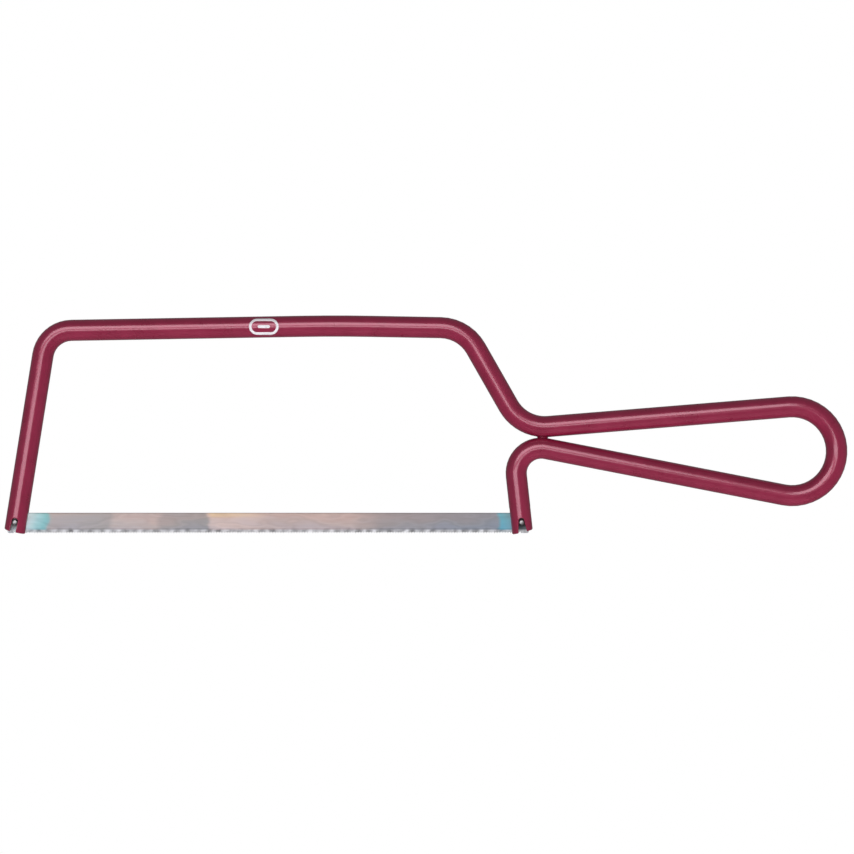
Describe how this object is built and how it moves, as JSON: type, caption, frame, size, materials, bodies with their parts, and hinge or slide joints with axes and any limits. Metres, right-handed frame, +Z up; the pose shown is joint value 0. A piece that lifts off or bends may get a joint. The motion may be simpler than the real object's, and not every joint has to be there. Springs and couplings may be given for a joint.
{
  "type": "junior hacksaw",
  "caption": "Small hacksaw with a bent spring-rod frame and handle loop that hold a thin toothed blade by its pins.",
  "frame": {"origin": "middle of the underside of the saw as it lies flat on its side", "axes": "+X along the blade from the nose to the handle, +Y from the teeth to the spine, +Z up, square to the plane of the saw"},
  "size_m": [0.2501, 0.065, 0.0063],
  "materials": {
    "coated_rod": "gloss",
    "blade_steel": "satin",
    "pin_steel": "satin"
  },
  "bodies": {
    "frame": {"frame": "coated_rod"},
    "front_pin": {"front_pin": "pin_steel"},
    "blade": {"blade_strip": "blade_steel", "rear_pin": "pin_steel"}
  },
  "joints": [
    {"name": "front_pin_draw", "type": "slide", "parent": "frame", "child": "front_pin", "axis": [-0.2079, -0.9781, 0], "range_m": [0, 0.008]},
    {"name": "blade_swing", "type": "hinge", "parent": "front_pin", "child": "blade", "pos_m": [-0.12168, -0.02893, 0.00315], "axis": [0, 0, -1], "range_deg": [0, 34]}
  ],
  "couplings": [
    {"joint": "front_pin_draw", "follows": "blade_swing", "m_per_rad": 0.013481}
  ]
}
